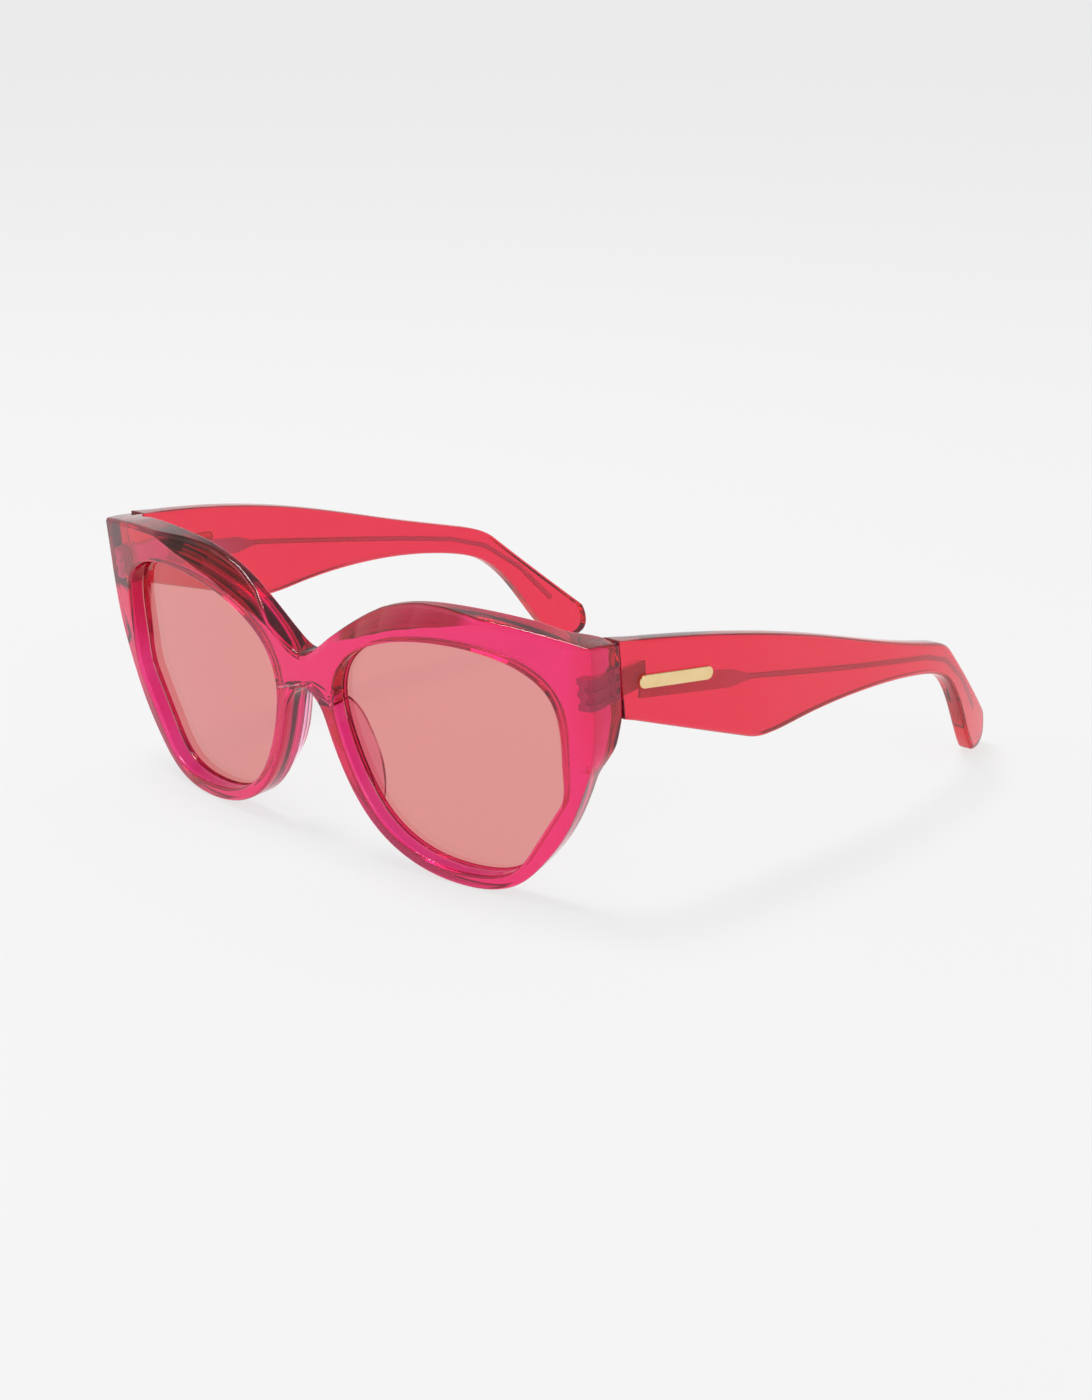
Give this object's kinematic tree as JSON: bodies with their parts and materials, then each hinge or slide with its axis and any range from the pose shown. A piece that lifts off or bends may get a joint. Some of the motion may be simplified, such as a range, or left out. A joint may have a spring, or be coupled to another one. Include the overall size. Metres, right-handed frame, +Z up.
{
  "type": "cat eye sunglasses",
  "caption": "Cat eye sunglasses in clear fuchsia acetate with rose lenses, wide temples that fold on barrel hinges, wire cores and bonded nose pads.",
  "frame": {"origin": "on the surface that the open glasses stand on, under the middle of their box", "axes": "+Z up, -Y the way the lenses face, +X towards the wearer's left"},
  "size_m": [0.1506, 0.1546, 0.0586],
  "materials": {
    "front_acetate": "clear fuchsia cellulose acetate, tumble polished",
    "temple_acetate": "clear raspberry cellulose acetate, tumble polished",
    "pad_acetate": "clear fuchsia acetate, polished",
    "tinted_lens": "rose tinted lens resin, polished",
    "hinge_metal": "nickel silver, satin",
    "screw_metal": "stainless steel, turned",
    "core_metal": "nickel silver wire, drawn",
    "gold_plate": "pale gold plate, polished"
  },
  "bodies": {
    "front": {"front_frame": "front_acetate", "left_lens": "tinted_lens", "left_nose_pad": "pad_acetate", "left_front_hinge": "hinge_metal", "left_hinge_screw": "screw_metal", "right_lens": "tinted_lens", "right_nose_pad": "pad_acetate", "right_front_hinge": "hinge_metal", "right_hinge_screw": "screw_metal"},
    "left_arm": {"left_temple": "temple_acetate", "left_temple_hinge": "hinge_metal", "left_core_wire": "core_metal", "left_side_plate": "gold_plate"},
    "right_arm": {"right_temple": "temple_acetate", "right_temple_hinge": "hinge_metal", "right_core_wire": "core_metal", "right_side_plate": "gold_plate"}
  },
  "joints": [
    {"name": "left_temple_fold", "type": "hinge", "parent": "front", "child": "left_arm", "pos_m": [0.0663, -0.0594, 0.0466], "axis": [0, -0.1219, 0.9925], "range_deg": [0, 90]},
    {"name": "right_temple_fold", "type": "hinge", "parent": "front", "child": "right_arm", "pos_m": [-0.0663, -0.0594, 0.0466], "axis": [0, 0.1219, -0.9925], "range_deg": [0, 84]}
  ]
}
